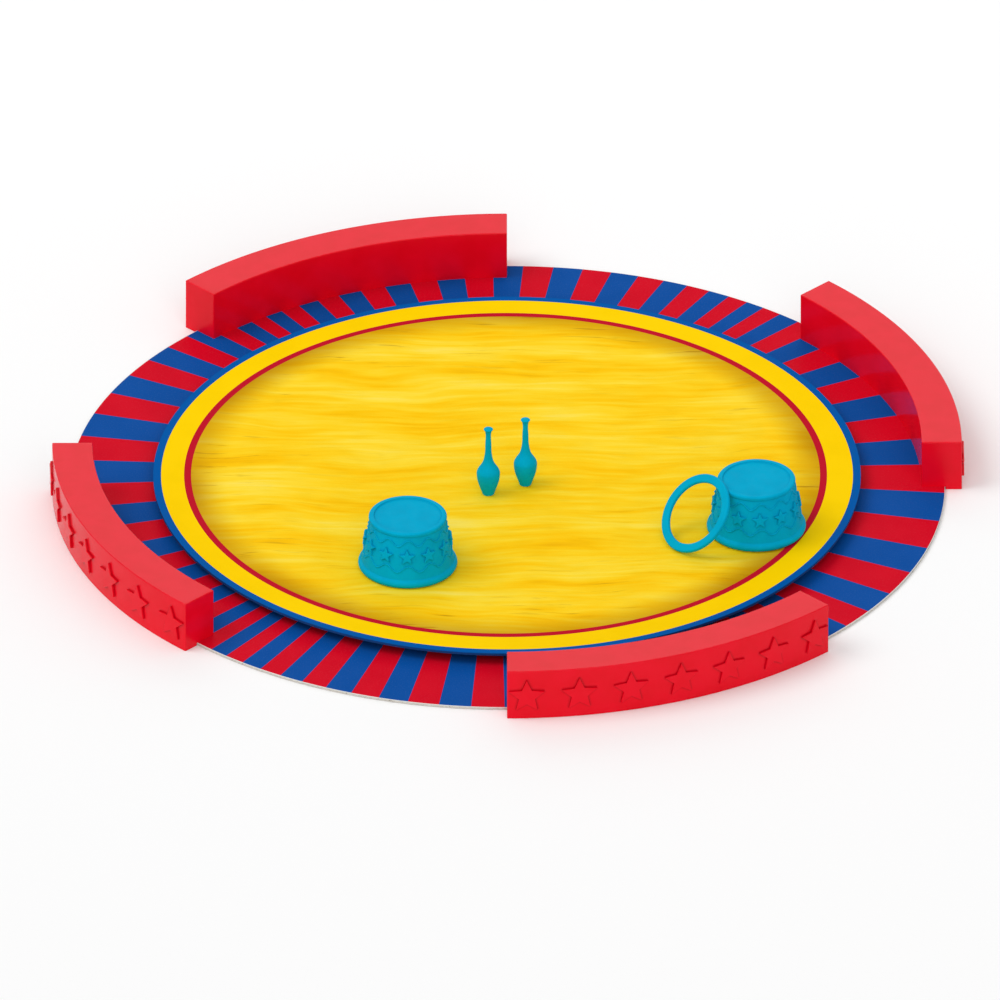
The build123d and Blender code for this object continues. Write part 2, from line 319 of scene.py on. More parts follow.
@dataclass(frozen=True)
class MouldedPlastic:
    """Injection-moulded plastic: faint flow clouds in its colour, a fine pebbled skin, and painted
    shade in its creases where asked for.
    """

    name: str
    colour: Colour
    flow_colour: Colour
    roughness: float
    specular: float
    cloud: float = 9.0  # size of the flow clouds
    cloud_edges: tuple[float, float] = (0.35, 0.7)  # where their noise starts and ends to show
    handled: float = 0.6  # size of the handled patches, as a share of a cloud
    polish: tuple[float, float] = (0.85, 1.2)  # lowest and highest share of the roughness
    pebble: float = 0.35  # size of the skin's grain
    pebble_depth: float = 0.006
    # painted shade: the next two fields darken the colour by ambient occlusion in creases, round
    # raised stars and under lips
    crease_width: float = 0.9
    crease_shade: float = 0.0  # how much darker the colour is in the tightest creases

    def material(self) -> bpy.types.Material:
        """Builds the material."""
        graph = Graph(bpy.data.materials.new(self.name))
        place = graph.place()
        flow = graph.noise([part / self.cloud for part in place], detail=2.0)
        skin = graph.noise([part / self.pebble for part in place], detail=2.0, roughness=0.6)
        patch = self.cloud * self.handled
        handled = graph.noise([part / patch for part in place], detail=4.0, roughness=0.65)
        colour = graph.blend(flow.ramp(*self.cloud_edges), self.colour, self.flow_colour)
        # painted shade: ambient occlusion darkens the base colour in tight creases and round raised
        # reliefs
        if self.crease_shade > 0:
            openness = graph.node(
                "ShaderNodeAmbientOcclusion",
                {"samples": 12, "only_local": True},
                {"Distance": self.crease_width * MM},
                output="AO",
            )
            colour = graph.blend((1 - openness) * self.crease_shade, colour, BLACK)
        roughness = handled.ramp(*MIDDLING, *(self.roughness * share for share in self.polish))
        return graph.finish(
            colour,
            roughness,
            graph.relief(skin, self.pebble_depth),
            Specular_IOR_Level=self.specular,
        )


@dataclass(frozen=True)
class GreyBoard:
    """Pressed grey board, with long fibres, flecks and a soft layered edge."""

    name: str = "pressed_grey_board"
    colour: Colour = ink(214, 210, 203)
    fibre_colour: Colour = ink(176, 170, 160)
    fleck_colour: Colour = ink(120, 112, 104)
    fibre: tuple[float, float, float] = (2.4, 0.5, 0.12)  # length, width and layer thickness
    fibre_edges: tuple[float, float] = (0.42, 0.62)
    fibre_depth: float = 0.03
    fleck: float = 1.1
    fleck_edges: tuple[float, float] = (0.7, 0.76)
    fleck_share: float = 0.7
    roughness: tuple[float, float] = (0.8, 0.95)
    specular: float = 0.2

    def material(self) -> bpy.types.Material:
        """Builds the material."""
        graph = Graph(bpy.data.materials.new(self.name))
        x, y, z = graph.place()
        length, width, layer = self.fibre
        fibres = graph.noise([x / length, y / width, z / layer], detail=4.0, roughness=0.6)
        crossed = graph.noise([x / width, y / length, z / layer], detail=4.0, roughness=0.6)
        flecks = graph.noise([part / self.fleck for part in (x, y, z)], detail=1.0)
        pulp = (fibres + crossed) * 0.5
        colour = graph.blend(pulp.ramp(*self.fibre_edges), self.colour, self.fibre_colour)
        fleck_share = flecks.ramp(*self.fleck_edges, 0.0, self.fleck_share)
        colour = graph.blend(fleck_share, colour, self.fleck_colour)
        return graph.finish(
            colour,
            pulp.ramp(*MIDDLING, *self.roughness),
            graph.relief(pulp, self.fibre_depth),
            Specular_IOR_Level=self.specular,
        )


@dataclass(frozen=True)
class StripedPaper:
    """Varnished sheet with red and blue stripes, spaced evenly round a rectangle."""

    name: str = "striped_ring_print"
    red: Colour = ink(213, 6, 35)
    blue: Colour = ink(8, 79, 160)
    paper: Colour = ink(228, 227, 224)
    fan_middle: tuple[float, float] = (-3.3, 10.0)
    rectangle: float = 1.238  # its height over its width, as slopes
    per_side: float = 21.5  # stripes
    first: float = 0.984  # where the count starts, in stripes
    drift: tuple[float, ...] = (0.137, -0.848, -0.152, -0.34, 0.123)  # in stripes, see count()
    cut_edge: float = 0.12  # width of bare paper at the cut
    film: float = 14.0  # size of the clouds in the ink
    film_edges: tuple[float, float] = (0.35, 0.7)
    film_share: float = 0.05
    film_colour: Colour = ink(8, 8, 14)
    screen: float = 0.5  # size of the print's grain
    screen_edges: tuple[float, float] = (0.5, 0.8)
    screen_share: float = 0.02
    wave: float = 25.0  # size of the sheet's waves
    grain: float = 0.6  # size of the varnish's grain
    grain_share: float = 0.1  # of the relief
    relief_depth: float = 0.05
    roughness: tuple[float, float] = (0.34, 0.46)
    specular: float = 0.01

    def count(self, x: Value, y: Value, reach: Value) -> Value:
        """How many stripes lie between the first and a point, going round.

        The drift shifts the count by waves that come round once, twice and three times.

        Args:
            x: millimetres to the right of the ring's middle.
            y: millimetres behind it.
            reach: millimetres from it.

        Returns:
            The count; its whole part tells red from blue.
        """
        across, along = x - self.fan_middle[0], y - self.fan_middle[1]
        slope = along / across / self.rectangle
        steep = slope.size().above(1.0)
        half = self.per_side / 2
        beside = slope * half + (1 - across.above(0.0)) * (2 * self.per_side)
        beyond = (3 - along.above(0.0) * 2) * self.per_side - half / slope
        cosine, sine = x / reach, y / reach
        once_x, once_y, twice_x, twice_y, thrice = self.drift
        # cosines and sines of once, twice and three times the bearing
        drift = (
            cosine * once_x
            + sine * once_y
            + cosine * sine * (2 * twice_x)
            + (cosine * cosine - sine * sine) * twice_y
            + sine * (3 - sine * sine * 4) * thrice
        )
        return beside * (1 - steep) + beyond * steep + drift + self.first

    def material(self) -> bpy.types.Material:
        """Builds the material."""
        graph = Graph(bpy.data.materials.new(self.name))
        x, y, _ = graph.place()
        reach = (x * x + y * y).root()
        is_blue = (self.count(x, y, reach) / 2).fraction().above(0.5)
        film = graph.noise([x / self.film, y / self.film, 0.0], detail=3.0)
        screen = graph.noise([x / self.screen, y / self.screen, 0.0], detail=1.0)
        colour = graph.blend(is_blue, self.red, self.blue)
        film_share = film.ramp(*self.film_edges, 0.0, self.film_share)
        colour = graph.blend(film_share, colour, self.film_colour)
        screen_share = screen.ramp(*self.screen_edges, 0.0, self.screen_share)
        colour = graph.blend(screen_share, colour, self.paper)
        bare = reach.above(node_radius("base_print") - self.cut_edge)
        colour = graph.blend(bare, colour, self.paper)
        waves = graph.noise([x / self.wave, y / self.wave, 0.0], detail=1.0)
        grain = graph.noise([x / self.grain, y / self.grain, 0.0], detail=2.0)
        skin = waves * (1 - self.grain_share) + grain * self.grain_share
        return graph.finish(
            colour,
            film.ramp(*MIDDLING, *self.roughness),
            graph.relief(skin, self.relief_depth),
            Specular_IOR_Level=self.specular,
        )


@dataclass(frozen=True)
class StagePaper:
    """Varnished stage sheet: streaked sand inside thin red, wide yellow and thin blue rings."""

    name: str = "sand_stage_print"
    sand: tuple[tuple[float, Colour], ...] = (
        (0.20, ink(240, 178, 4)),
        (0.37, ink(255, 199, 10)),
        (0.50, ink(255, 211, 32)),
        (0.63, ink(255, 221, 58)),
        (0.82, ink(255, 231, 100)),
    )
    shade: Colour = ink(178, 124, 6)
    dark_streak: Colour = ink(176, 128, 18)
    red: Colour = ink(192, 20, 42)
    yellow: Colour = ink(255, 211, 0)
    blue: Colour = ink(0, 88, 166)
    blue_width: float = 2.7
    yellow_width: float = 8.4
    red_width: float = 2.4
    offset: float = -0.5  # how far the print inside the blue ring lies to the right
    streak: tuple[float, float] = (34.0, 2.9)  # length and width of a streak of sand
    band: tuple[float, float] = (62.0, 13.0)  # length and width of a broad band
    band_share: float = 0.55  # of the sand's level
    contrast: float = 1.4
    sway: float = 10.0  # how far the streaks sway aside
    sway_bend: tuple[float, float] = (70.0, 44.0)  # length and width of one sway
    dark_size: float = 0.7  # size of a dark streak, as a share of a streak
    dark_edges: tuple[float, float] = (0.58, 0.72)
    dark_shares: tuple[float, float] = (0.15, 0.7)  # everywhere, and more at the rim
    dark_patch: tuple[float, float] = (40.0, 22.0)
    dark_patch_edges: tuple[float, float] = (0.36, 0.6)
    rim_start: float = 0.55  # where the rim starts to have dark streaks, as a share of the sand
    shade_width: float = 13.0
    shade_past: float = 2.0  # how far beyond the sand's edge its shade would be full
    shade_share: float = 0.85
    shade_patch: tuple[float, float] = (60.0, 40.0)
    shade_range: tuple[float, float, float, float] = (0.36, 0.64, 0.7, 1.0)
    film: float = 12.0  # size of the clouds in the ink
    film_edges: tuple[float, float] = (0.4, 0.7)
    film_share: float = 0.03
    film_colour: Colour = ink(90, 60, 20)
    wave: float = 30.0  # size of the sheet's waves
    streak_relief: float = 0.1  # share of the relief that follows the streaks
    relief_depth: float = 0.05
    roughness: tuple[float, float] = (0.4, 0.52)
    specular: float = 0.006

    def streaks(self, graph: Graph, x: Value, y: Value) -> tuple[Value, Value]:
        """Raked streaks that run from left to right and sway a little.

        Args:
            graph: the graph to add to.
            x: millimetres to the right of the ring's middle.
            y: millimetres behind it.

        Returns:
            The streaks' level about 0.5, and the fine dark streaks from 0 to 1.
        """
        bend = graph.noise([x / self.sway_bend[0], y / self.sway_bend[1], 2.0], detail=2.0)
        across = y + (bend - 0.5) * (2 * self.sway)
        length, width = self.streak
        fine = graph.noise([x / length, across / width, 0.0], detail=5.0, roughness=0.55)
        broad = graph.noise([x / self.band[0], across / self.band[1], 4.0], detail=3.0)
        dark_place = [x / (length * self.dark_size), across / (width * self.dark_size), 9.0]
        dark = graph.noise(dark_place, detail=3.0, roughness=0.6)
        level = fine * (1 - self.band_share) + broad * self.band_share
        return level, dark.ramp(*self.dark_edges)

    def sand_colour(
        self, graph: Graph, x: Value, y: Value, inner: Value, sand_edge: float
    ) -> tuple[Value, Value]:
        """Colour of the sand, with dark streaks and a shaded rim.

        Args:
            graph: the graph to add to.
            x: millimetres to the right of the ring's middle.
            y: millimetres behind it.
            inner: millimetres from the middle of the print inside the blue ring.
            sand_edge: radius of the sand.

        Returns:
            The colour, and the streaks' level about 0.5.
        """
        level, dark = self.streaks(graph, x, y)
        spread = (level - 0.5) * self.contrast + 0.5
        sand = graph.node("ShaderNodeValToRGB", {"stops": self.sand}, {0: spread})
        length, width = self.dark_patch
        patches = graph.noise([x / length, y / width, 7.0], detail=2.0)
        near_rim = inner.ramp(sand_edge * self.rim_start, sand_edge)
        everywhere, at_rim = self.dark_shares
        dark_share = dark * (everywhere + near_rim * at_rim) * patches.ramp(*self.dark_patch_edges)
        sand = graph.blend(dark_share, sand, self.dark_streak)
        length, width = self.shade_patch
        facing = graph.noise([x / length, y / width, 5.0], detail=1.0).ramp(*self.shade_range)
        rim = inner.ramp(sand_edge - self.shade_width, sand_edge + self.shade_past)
        return graph.blend(rim * facing * self.shade_share, sand, self.shade), level

    def material(self) -> bpy.types.Material:
        """Builds the material."""
        graph = Graph(bpy.data.materials.new(self.name))
        x, y, _ = graph.place()
        east = x - self.offset
        reach = (x * x + y * y).root()
        inner = (east * east + y * y).root()
        edge = node_radius("stage_print")
        sand_edge = edge - self.blue_width - self.yellow_width - self.red_width
        sand, level = self.sand_colour(graph, x, y, inner, sand_edge)
        colour = graph.blend(inner.above(sand_edge), sand, self.red)
        colour = graph.blend(inner.above(sand_edge + self.red_width), colour, self.yellow)
        colour = graph.blend(reach.above(edge - self.blue_width), colour, self.blue)
        film = graph.noise([x / self.film, y / self.film, 0.0], detail=3.0)
        film_share = film.ramp(*self.film_edges, 0.0, self.film_share)
        colour = graph.blend(film_share, colour, self.film_colour)
        waves = graph.noise([x / self.wave, y / self.wave, 0.0], detail=1.0)
        skin = waves * (1 - self.streak_relief) + level * self.streak_relief
        return graph.finish(
            colour,
            film.ramp(*MIDDLING, *self.roughness),
            graph.relief(skin, self.relief_depth),
            Specular_IOR_Level=self.specular,
        )


GREY_BOARD = GreyBoard()
BLUE_EDGED_BOARD = GreyBoard(
    name="blue_edged_stage_board",
    colour=ink(12, 66, 128),
    fibre_colour=ink(8, 52, 104),
    fleck_colour=ink(70, 92, 120),
)
STRIPED_PAPER = StripedPaper()
STAGE_PAPER = StagePaper()
WHITE_PLASTIC = MouldedPlastic(
    name="white_turntable_plastic",
    colour=ink(232, 231, 226),
    flow_colour=ink(222, 221, 214),
    roughness=0.5,
    specular=0.4,
    pebble=0.5,
)
RED_PLASTIC = MouldedPlastic(
    name="glossy_red_kerb_plastic",
    colour=ink(232, 6, 34),
    flow_colour=ink(227, 4, 29),
    roughness=0.2,
    specular=0.15,
    pebble_depth=0.002,
    # painted shade: darker colour in the creases round the kerb's stars and edges
    crease_width=1.0,
    crease_shade=0.65,
)
RED_UNDERSIDE = MouldedPlastic(
    name="satin_red_underside",
    colour=ink(205, 14, 32),
    flow_colour=ink(196, 12, 28),
    roughness=0.55,
    specular=0.3,
    pebble=0.6,
    pebble_depth=0.015,
)
BLUE_PLASTIC = MouldedPlastic(
    name="matt_teal_prop_plastic",
    colour=ink(0, 167, 206),
    flow_colour=ink(0, 162, 201),
    roughness=0.55,
    specular=0.02,
    cloud=6.0,
    pebble=0.28,
    # painted shade: darker colour in the creases round the pedestals' stars, waves and lip
    crease_width=0.8,
    crease_shade=0.4,
)


@dataclass
class PaintBox:
    """Builds each finish once and hands it out."""

    made: dict[str, bpy.types.Material] = field(default_factory=dict)

    def material(self, finish: Any) -> bpy.types.Material:
        """The finish's material, built when it is first asked for."""
        if finish.name not in self.made:
            self.made[finish.name] = finish.material()
        return self.made[finish.name]

    def dress(self, node: str, finish: Any) -> None:
        """Gives a CAD node its finish.

        Args:
            node: the node's name.
            finish: the finish.
        """
        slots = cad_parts[node].data.materials
        slots.clear()
        slots.append(self.material(finish))
        LOG.info("dressed %s in %s", node, finish.name)


# ---- meshes --------------------------------------------------------------------------------------


class Shape:
    """A mesh in the making, in millimetres."""

    def __init__(self) -> None:
        """Starts empty."""
        self.mesh = bmesh.new()

    def outline(self, points: Iterable[tuple[float, float]], closed: bool) -> list[Any]:
        """Draws an outline of (radius, height) points on the upright plane through the axis.

        Args:
            points: the outline's corners.
            closed: whether the last corner joins the first, with a face between them.

        Returns:
            The corners, edges and face.
        """
        corners = [self.mesh.verts.new((radius, 0.0, height)) for radius, height in points]
        if closed:
            face = self.mesh.faces.new(corners)
            return [*corners, *face.edges, face]
        return [*corners, *(self.mesh.edges.new(pair) for pair in zip(corners, corners[1:]))]

    def spin(self, geometry: list[Any], angle: float, steps: int) -> None:
        """Turns an outline round the upright axis and closes its poles and seam.

        Args:
            geometry: what outline() returned.
            angle: degrees.
            steps: facets over that angle.
        """
        bmesh.ops.spin(
            self.mesh,
            geom=geometry,
            cent=(0, 0, 0),
            axis=(0, 0, 1),
            angle=math.radians(angle),
            steps=steps,
            use_merge=angle == 360.0,
        )
        bmesh.ops.remove_doubles(self.mesh, verts=self.mesh.verts[:], dist=SAME_PLACE / 10)
        bmesh.ops.recalc_face_normals(self.mesh, faces=self.mesh.faces[:])

    def round_edges(
        self, wanted: Callable[[bmesh.types.BMEdge], bool], radius: float, segments: int
    ) -> None:
        """Rounds edges.

        Args:
            wanted: tells whether an edge is rounded.
            radius: how far the rounding reaches from the edge.
            segments: facets over the rounding.
        """
        edges = [edge for edge in self.mesh.edges if wanted(edge)]
        bmesh.ops.bevel(
            self.mesh,
            geom=edges,
            offset=radius,
            offset_type="OFFSET",
            segments=segments,
            profile=0.5,
            affect="EDGES",
            material=-1,
            clamp_overlap=True,
        )

    def move(self, matrix: Matrix) -> None:
        """Moves the whole mesh by a matrix in millimetres."""
        bmesh.ops.transform(self.mesh, matrix=matrix, verts=self.mesh.verts[:])

    def take(self, other: "Shape") -> None:
        """Adds another mesh to this one."""
        carried = bpy.data.meshes.new("carried")
        other.mesh.to_mesh(carried)
        self.mesh.from_mesh(carried)
        bpy.data.meshes.remove(carried)
        other.mesh.free()

    def piece(
        self, name: str, body: str, node: str, slot: str, material: bpy.types.Material
    ) -> None:
        """Ends the mesh as a piece of the object, at the origin with its place in its mesh.

        Args:
            name: the piece's name.
            body: the CAD body it rides on.
            node: the CAD node it stands for.
            slot: the name of its material slot; not used.
            material: its finish.
        """
        bmesh.ops.scale(self.mesh, vec=(MM, MM, MM), verts=self.mesh.verts[:])
        data = bpy.data.meshes.new(name)
        self.mesh.to_mesh(data)
        self.mesh.free()
        data.shade_smooth()
        data.set_sharp_from_angle(angle=math.radians(SHARP_ANGLE))
        data.materials.append(material)
        made = bpy.data.objects.new(name, data)
        bpy.context.scene.collection.objects.link(made)
        even = made.modifiers.new("even_normals", "WEIGHTED_NORMAL")
        even.keep_sharp = True
        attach(made, body)
        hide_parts(node)
        LOG.info("made %s, %d faces, riding on %s", name, len(data.polygons), body)


@dataclass(frozen=True)
class RaisedStar:
    """Five-pointed star that stands up from a wall on a root inside it."""

    radius: float
    waist: float  # inner over outer radius
    rise: float
    edge: float  # rounding of its upper edges
    root: float = 0.4
    edge_segments: int = 3

    def shape(self, wall: Matrix) -> Shape:
        """Builds the star on a wall.

        Args:
            wall: the place of the star's middle on the wall's surface, with z out of the wall.

        Returns:
            Its closed mesh.
        """
        star = Shape()
        circle = {"cap_ends": True, "radius": self.radius, "segments": 10}  # five points and waists
        ring = bmesh.ops.create_circle(star.mesh, **circle)["verts"]
        bmesh.ops.scale(star.mesh, vec=(self.waist, self.waist, 1), verts=ring[1::2])
        raised = bmesh.ops.extrude_face_region(star.mesh, geom=star.mesh.faces[:])["geom"]
        top = [part for part in raised if isinstance(part, bmesh.types.BMVert)]
        bmesh.ops.translate(star.mesh, vec=(0, 0, self.root + self.rise), verts=top)
        bmesh.ops.recalc_face_normals(star.mesh, faces=star.mesh.faces[:])

        def is_upper(edge: bmesh.types.BMEdge) -> bool:
            """Whether an edge runs round the star's face."""
            return all(corner.co.z > self.root for corner in edge.verts)

        star.round_edges(is_upper, self.edge, self.edge_segments)
        star.move(wall @ Matrix.Translation((0, 0, -self.root)))
        return star


def wall_place(radius: float, height: float, bearing: float, lean: float = 0.0) -> Matrix:
    """Place on a wall round the upright axis: x along the wall, y up it and z out of it.

    Args:
        radius: from the axis to the wall.
        height: above the axis's foot.
        bearing: degrees from the right.
        lean: degrees by which the wall looks up.

    Returns:
        The place as a matrix.
    """
    turn = Matrix.Rotation(math.radians(bearing), 4, "Z")
    out = Matrix.Translation((radius, 0, height))
    tilt = Matrix.Rotation(math.radians(-lean), 4, "Y")
    stand = Matrix(((0, 0, 1, 0), (1, 0, 0, 0), (0, 1, 0, 0), (0, 0, 0, 1)))
    return turn @ out @ tilt @ stand


# ---- sub-assemblies ------------------------------------------------------------------------------


@dataclass
class Base:
    """Base of the ring: a grey board under its striped sheet."""

    def build(self, paints: PaintBox) -> None:
        """Dresses the board and its print."""
        paints.dress("base_board", GREY_BOARD)
        paints.dress("base_print", STRIPED_PAPER)


@dataclass
class Turntable:
    """Printed stage on its board, the spoked wheel glued under it, and the stud it turns on."""

    def build(self, paints: PaintBox) -> None:
        """Dresses the turntable's nodes."""
        paints.dress("pivot_stud", WHITE_PLASTIC)
        paints.dress("stage_wheel", WHITE_PLASTIC)
        paints.dress("stage_board", BLUE_EDGED_BOARD)
        paints.dress("stage_print", STAGE_PAPER)


@dataclass
class Kerb:
    """One curved kerb: a hollow shell with seven raised stars over its underside plate."""

    side: Side
    overlap: float = 8.0  # how far it stands in over the base
    width: float = 13.8
    arc: float = 45.0
    wall: float = 1.6
    rim_gap: float = 0.3
    edge_radius: float = 0.35
    edge_segments: int = 3
    edge_turn: float = 60.0  # degrees; edges that turn more are rounded
    steps: int = 60
    star_count: int = 7
    star_span: float = 40.0
    star_drop: float = 0.5
    star: RaisedStar = RaisedStar(radius=6.4, waist=0.46, rise=0.8, edge=0.2)

    def shell(self) -> Shape:
        """Hollow shell from bearing 0: outer walls, rounded edges and the cavity below."""
        inner = node_radius("base_board") - self.overlap
        outer = inner + self.width
        step = node_radius("base_board") + self.rim_gap
        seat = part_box("base_print")[1].z / MM
        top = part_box(f"kerb_shell_{self.side.label}")[1].z / MM
        foot = [(inner, seat), (step, seat), (step, 0.0), (outer, 0.0)]
        shell = Shape()
        outline = [*foot, (outer, top), (inner, top)]
        shell.spin(shell.outline(outline, closed=True), self.arc, self.steps)
        self.hollow(shell, seat, top - self.wall)

        def is_edge(edge: bmesh.types.BMEdge) -> bool:
            """Whether an edge runs round the top face or down an end."""
            low, high = sorted(corner.co.z for corner in edge.verts)
            if len(edge.link_faces) != 2 or edge.calc_face_angle() <= math.radians(self.edge_turn):
                return False
            from_foot_or_top = low > top - SAME_PLACE or low < seat + SAME_PLACE
            return high > top - SAME_PLACE and from_foot_or_top

        shell.round_edges(is_edge, self.edge_radius, self.edge_segments)
        return shell

    def hollow(self, shell: Shape, seat: float, ceiling: float) -> None:
        """Sinks the cavity up from the underside.

        Args:
            shell: the solid kerb.
            seat: height of the kerb's underside over the base.
            ceiling: height of the cavity's roof.
        """
        mesh = shell.mesh

        def is_under(face: bmesh.types.BMFace) -> bool:
            """Whether a face is part of the underside."""
            return all(corner.co.z < seat + SAME_PLACE for corner in face.verts)

        under = [face for face in mesh.faces if is_under(face)]
        inset = {"thickness": self.wall, "use_boundary": True, "use_even_offset": True}
        bmesh.ops.inset_region(mesh, faces=under, **inset)
        raised = bmesh.ops.extrude_face_region(mesh, geom=under)["geom"]
        for part in raised:
            if isinstance(part, bmesh.types.BMVert):
                part.co.z = ceiling
        bmesh.ops.delete(mesh, geom=[face for face in under if face.is_valid], context="FACES")
        bmesh.ops.remove_doubles(mesh, verts=mesh.verts[:], dist=SAME_PLACE)
        bmesh.ops.dissolve_degenerate(mesh, edges=mesh.edges[:], dist=SAME_PLACE / 10)
        bmesh.ops.recalc_face_normals(mesh, faces=mesh.faces[:])

    def build(self, paints: PaintBox) -> None:
        """Builds the shell with its stars and dresses the plate."""
        shell = self.shell()
        outer = node_radius("base_board") - self.overlap + self.width
        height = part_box(f"kerb_shell_{self.side.label}")[1].z / MM / 2 - self.star_drop
        pitch = self.star_span / (self.star_count - 1)
        for number in range(self.star_count):
            bearing = (self.arc - self.star_span) / 2 + number * pitch
            shell.take(self.star.shape(wall_place(outer, height, bearing)))
        shell.move(Matrix.Rotation(math.radians(self.side.value), 4, "Z"))
        label = self.side.label
        shell.piece(
            f"kerb_{label}_moulding",
            f"kerb_{label}",
            f"kerb_shell_{label}",
            "red_plastic",
            paints.material(RED_PLASTIC),
        )
        paints.dress(f"kerb_plate_{label}", RED_UNDERSIDE)


@dataclass
class Pedestal:
    """Hollow pedestal: rolled foot, leaning wall with stars between two waves, lip and recess."""

    side: str
    first_star: float  # bearing of the first star, in degrees
    foot_radius: float = 17.0
    foot_height: float = 3.0
    foot_slope: float = 0.22  # share of the foot's height that slopes in, above and below
    foot_round: float = 0.8
    wall_foot: float = 15.9
    wall_top: float = 13.05
    lip_radius: float = 13.4
    lip_height: float = 1.5
    lip_round: float = 0.7
    crease_round: float = 0.3
    recess_radius: float = 11.6
    recess_depth: float = 0.5
    recess_rounds: tuple[float, float] = (0.2, 0.28)  # at its rim and at its floor
    thickness: float = 1.2
    steps: int = 144
    star_count: int = 12
    star_height: float = 11.3
    star: RaisedStar = RaisedStar(radius=2.85, waist=0.44, rise=0.75, edge=0.2)
    wave_heights: tuple[float, float] = (6.9, 16.1)
    wave_swing: float = 1.1
    wave_lead: float = 2.0  # degrees from a star to the crest beside it
    wave_radius: float = 0.3
    wave_steps: int = 20  # facets along one wave
    wave_sides: int = 8

    def wall_at(self, height: float) -> float:
        """Radius of the leaning wall at a height above the foot's underside."""
        share = (height - self.foot_height) / (self.wall_rise - self.foot_height)
        return self.wall_foot + (self.wall_top - self.wall_foot) * share

    @cached_property
    def box(self) -> tuple[Vector, Vector]:
        """The CAD pedestal's lowest and highest corners, in millimetres."""
        low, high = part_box(f"pedestal_{self.side}")
        return low / MM, high / MM

    @property
    def height(self) -> float:
        """Height of the pedestal."""
        return self.box[1].z - self.box[0].z

    @property
    def wall_rise(self) -> float:
        """Height at which the leaning wall meets the lip."""
        return self.height - self.lip_height

    def tub(self) -> Shape:
        """The turned body with its foot, lip, recess and hollow underside."""
        floor = self.height - self.recess_depth
        foot_in = self.foot_height * self.foot_slope
        outline = [
            (0.0, floor),
            (self.recess_radius, floor),
            (self.recess_radius, self.height),
            (self.lip_radius, self.height),
            (self.lip_radius, self.wall_rise),
            (self.wall_top, self.wall_rise),
            (self.wall_foot, self.foot_height),
            (self.foot_radius, self.foot_height - foot_in),
            (self.foot_radius, foot_in),
            (self.wall_foot, 0.0),
            (self.wall_foot - self.thickness, 0.0),
            (self.wall_top - self.thickness, floor - self.thickness),
            (0.0, floor - self.thickness),
        ]
        tub = Shape()
        tub.spin(tub.outline(outline, closed=False), 360.0, self.steps)
        rim_round, floor_round = self.recess_rounds
        for radius, height, rounding, segments in (
            (self.lip_radius, self.height, self.lip_round, 5),
            (self.recess_radius, self.height, rim_round, 3),
            (self.recess_radius, floor, floor_round, 3),
            (self.lip_radius, self.wall_rise, self.crease_round, 3),
            (self.foot_radius, self.foot_height - foot_in, self.foot_round, 4),
            (self.foot_radius, foot_in, self.foot_round, 4),
            (self.wall_foot, self.foot_height, self.crease_round, 3),
        ):
            tub.round_edges(self.on_ring(radius, height), rounding, segments)
        return tub

    @staticmethod
    def on_ring(radius: float, height: float) -> Callable[[bmesh.types.BMEdge], bool]:
        """Picks the ring of edges at one corner of the outline.

        Args:
            radius: the corner's radius.
            height: the corner's height.

        Returns:
            A test that is true for an edge of that ring.
        """
        near = 10 * SAME_PLACE

        def is_there(corner: bmesh.types.BMVert) -> bool:
            """Whether a corner of the mesh is at that radius and height."""
            return abs(corner.co.xy.length - radius) < near and abs(corner.co.z - height) < near

        return lambda edge: all(is_there(corner) for corner in edge.verts)

    def wave(self, height: float) -> Shape:
        """Thin raised line that waves once for each star.

        Args:
            height: its middle height.

        Returns:
            Its closed mesh.
        """
        line = Shape()
        circle = {"radius": self.wave_radius, "segments": self.wave_sides}
        section = bmesh.ops.create_circle(line.mesh, **circle)["verts"]
        out = Matrix.Translation((self.wall_at(height), 0, height))
        upright = out @ Matrix.Rotation(math.pi / 2, 4, "X")
        bmesh.ops.transform(line.mesh, matrix=upright, verts=section)
        line.spin([*line.mesh.verts, *line.mesh.edges], 360.0, self.star_count * self.wave_steps)
        for corner in line.mesh.verts:
            bearing = math.atan2(corner.co.y, corner.co.x) - math.radians(self.wave_lead)
            swing = self.wave_swing * math.cos(self.star_count * bearing)
            shift = self.wall_at(height + swing) - self.wall_at(height)
            corner.co.xy *= 1 + shift / corner.co.xy.length
            corner.co.z += swing
        return line

    def build(self, paints: PaintBox) -> None:
        """Builds the pedestal in place."""
        tub = self.tub()
        run = self.wall_foot - self.wall_top
        lean = math.degrees(math.atan2(run, self.wall_rise - self.foot_height))
        for number in range(self.star_count):
            bearing = number * 360 / self.star_count
            wall = wall_place(self.wall_at(self.star_height), self.star_height, bearing, lean)
            tub.take(self.star.shape(wall))
        for height in self.wave_heights:
            tub.take(self.wave(height))
        low, high = self.box
        middle = (low + high) / 2
        turn = Matrix.Rotation(math.radians(self.first_star), 4, "Z")
        tub.move(Matrix.Translation((middle.x, middle.y, low.z)) @ turn)
        tub.piece(
            f"pedestal_{self.side}_moulding",
            f"pedestal_{self.side}",
            f"pedestal_{self.side}",
            "blue_plastic",
            paints.material(BLUE_PLASTIC),
        )


@dataclass
class Props:
    """Two clubs and the juggling ring, which keep their CAD shapes."""

    nodes: tuple[str, ...] = ("club_left", "club_right", "juggling_ring")

    def build(self, paints: PaintBox) -> None:
        """Dresses each prop."""
        for node in self.nodes:
            paints.dress(node, BLUE_PLASTIC)


